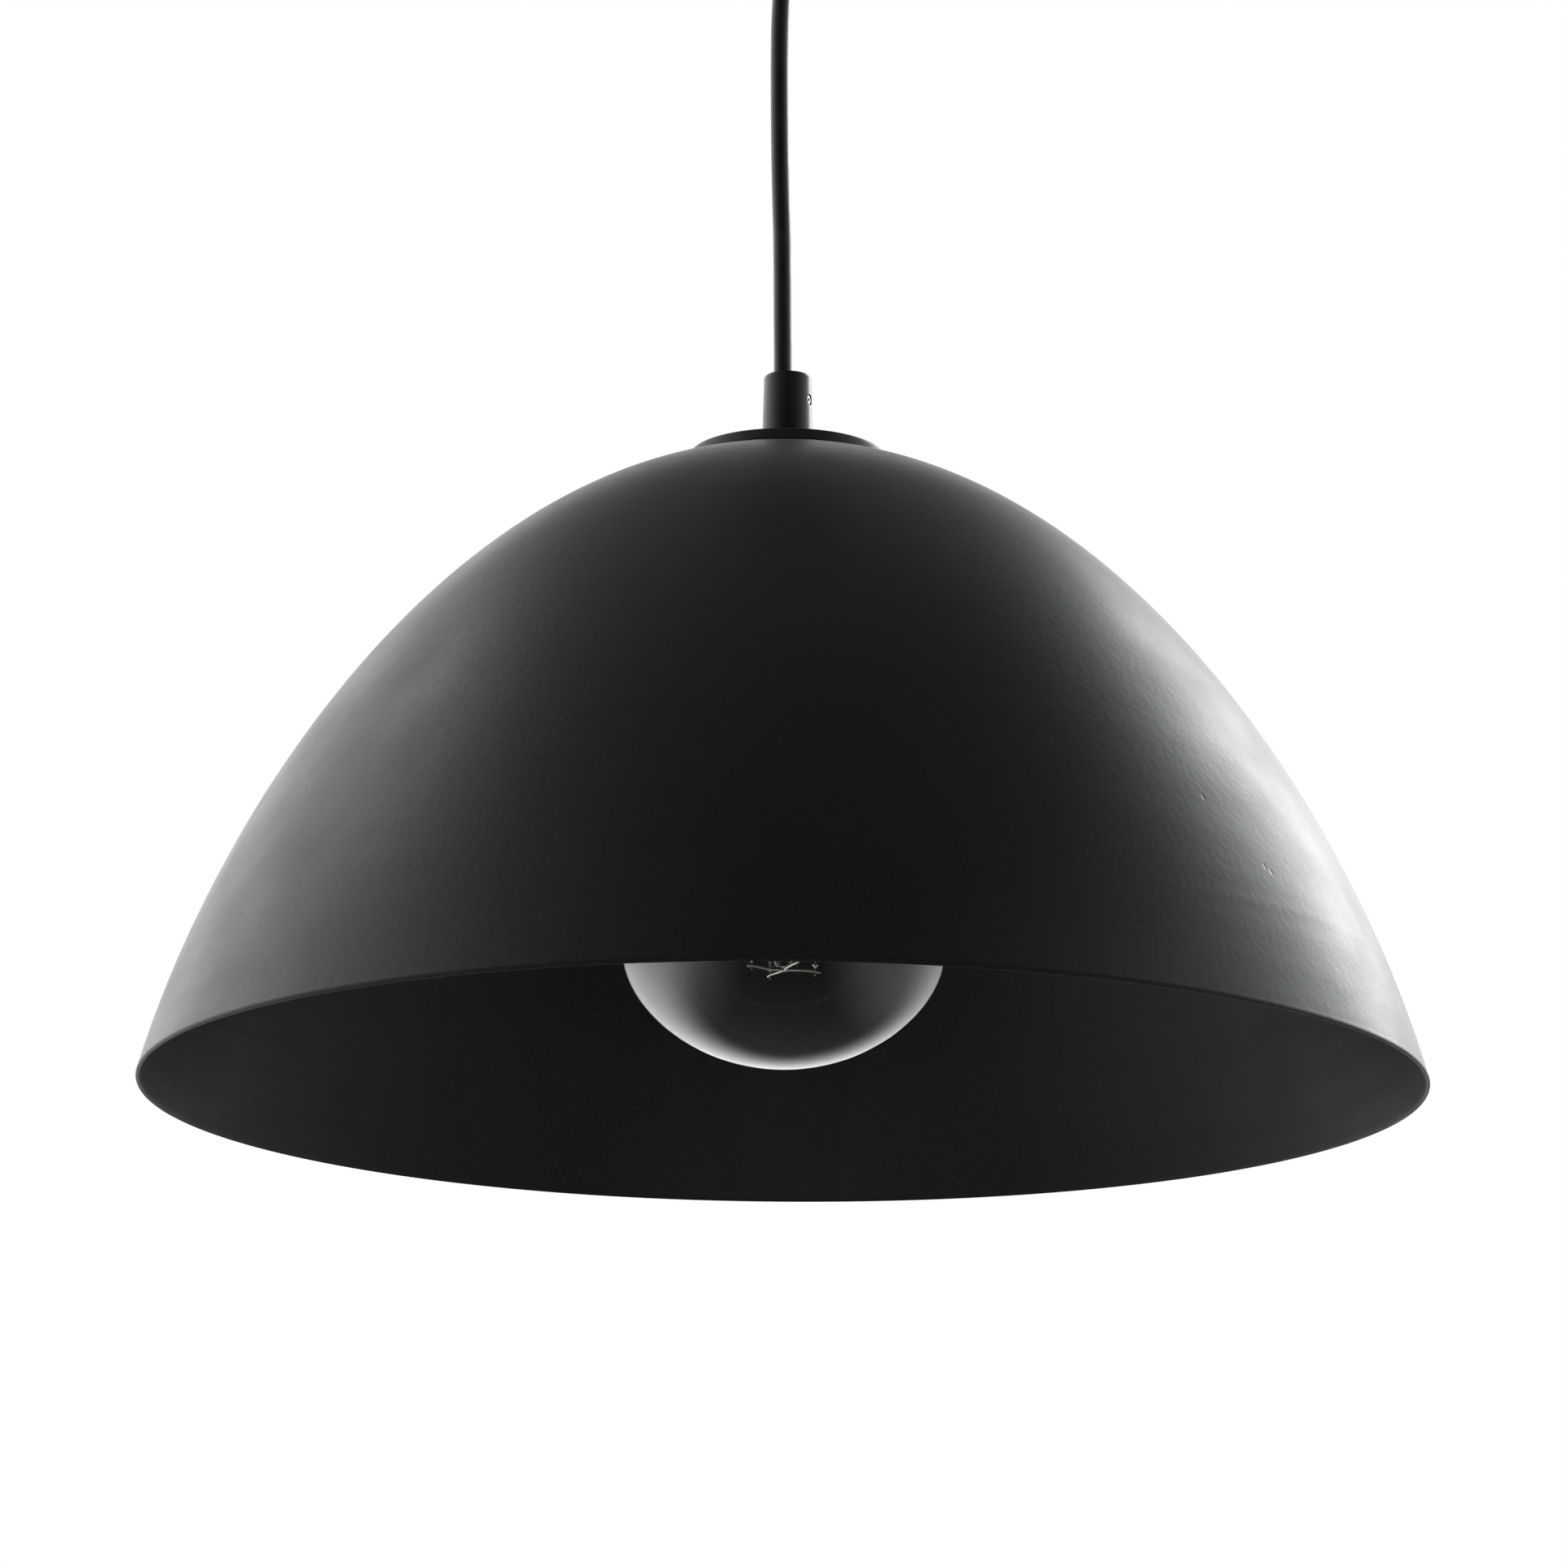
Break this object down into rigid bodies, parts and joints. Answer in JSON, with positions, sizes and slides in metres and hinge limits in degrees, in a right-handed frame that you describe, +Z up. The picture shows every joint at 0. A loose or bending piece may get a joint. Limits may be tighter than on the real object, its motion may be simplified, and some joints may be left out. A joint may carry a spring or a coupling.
{
  "type": "pendant ceiling light",
  "caption": "Pendant ceiling light: an open metal dome shade with a clear globe lamp, hung by a round cord and two cord grips from a ceiling canopy.",
  "frame": {"origin": "centre of the ceiling bracket's top face, which lies against the ceiling", "axes": "+Z up into the ceiling; +X along the ceiling bracket, towards its terminal block; the object hangs along -Z"},
  "size_m": [0.3996, 0.3996, 0.45],
  "materials": {
    "powder_coat": "matte fine-textured black powder coat",
    "black_steel": "satin black lacquer on turned steel",
    "zinc_steel": "zinc plated",
    "brass": "bare, slightly dull",
    "nickel": "nickel plated",
    "black_plastic": "moulded, fine satin",
    "black_glass": "fused black glass insulator",
    "ceramic": "unglazed steatite",
    "ivory_plastic": "moulded polyamide",
    "black_pvc": "extruded PVC sheath, satin",
    "brown_pvc": "extruded PVC insulation",
    "blue_pvc": "extruded PVC insulation",
    "clear_glass": "clear, thin, blown",
    "phosphor": "phosphor coating over LED strips, unlit"
  },
  "bodies": {
    "ceiling": {"ceiling_bracket": "zinc_steel", "canopy": "powder_coat", "canopy_screw_right": "black_steel", "canopy_screw_left": "black_steel", "canopy_washer": "zinc_steel", "canopy_nut": "zinc_steel", "canopy_nipple": "zinc_steel", "canopy_grip": "black_steel", "canopy_grip_screw": "zinc_steel", "terminal_block": "ivory_plastic", "terminal_block_screw": "zinc_steel", "terminal_live": "brass", "terminal_live_screw_1": "zinc_steel", "terminal_live_screw_2": "zinc_steel", "terminal_neutral": "brass", "terminal_neutral_screw_1": "zinc_steel", "terminal_neutral_screw_2": "zinc_steel", "canopy_core_live": "brown_pvc", "canopy_core_neutral": "blue_pvc"},
    "cord_top": {"cord_upper": "black_pvc"},
    "cord": {"cord_lower": "black_pvc"},
    "shade": {"shade": "powder_coat", "shade_cap": "powder_coat", "shade_washer": "zinc_steel", "shade_nut": "zinc_steel", "shade_nipple": "zinc_steel", "shade_grip": "black_steel", "shade_grip_screw": "zinc_steel", "holder_cap": "black_plastic", "holder_skirt": "black_plastic", "holder_insert": "ceramic", "holder_sleeve": "brass", "holder_contact": "brass", "holder_post_live": "brass", "holder_post_screw_live": "zinc_steel", "holder_core_live": "brown_pvc", "holder_post_neutral": "brass", "holder_post_screw_neutral": "zinc_steel", "holder_core_neutral": "blue_pvc"},
    "lamp": {"lamp_glass": "clear_glass", "lamp_shell": "nickel", "lamp_insulator": "black_glass", "lamp_tip": "nickel", "lamp_stem": "clear_glass", "lamp_star": "nickel", "lamp_lead_1": "nickel", "lamp_lead_2": "nickel", "lamp_filament_1": "phosphor", "lamp_filament_2": "phosphor", "lamp_filament_3": "phosphor", "lamp_filament_4": "phosphor"}
  },
  "joints": [
    {"name": "swing_side", "type": "hinge", "parent": "ceiling", "child": "cord_top", "pos_m": [0, 0, -0.0532], "axis": [0, 1, 0], "range_deg": [-25, 25]},
    {"name": "swing_front_back", "type": "hinge", "parent": "cord_top", "child": "cord", "pos_m": [-0.00295, 0, -0.0902], "axis": [1, 0, 0], "range_deg": [-25, 25]},
    {"name": "shade_twist", "type": "hinge", "parent": "cord", "child": "shade", "pos_m": [0, 0, -0.2175], "axis": [0, 0, 1], "range_deg": [-180, 180]},
    {"name": "lamp_release", "type": "slide", "parent": "shade", "child": "lamp", "axis": [0, 0, -1], "range_m": [0, 0.032]}
  ]
}
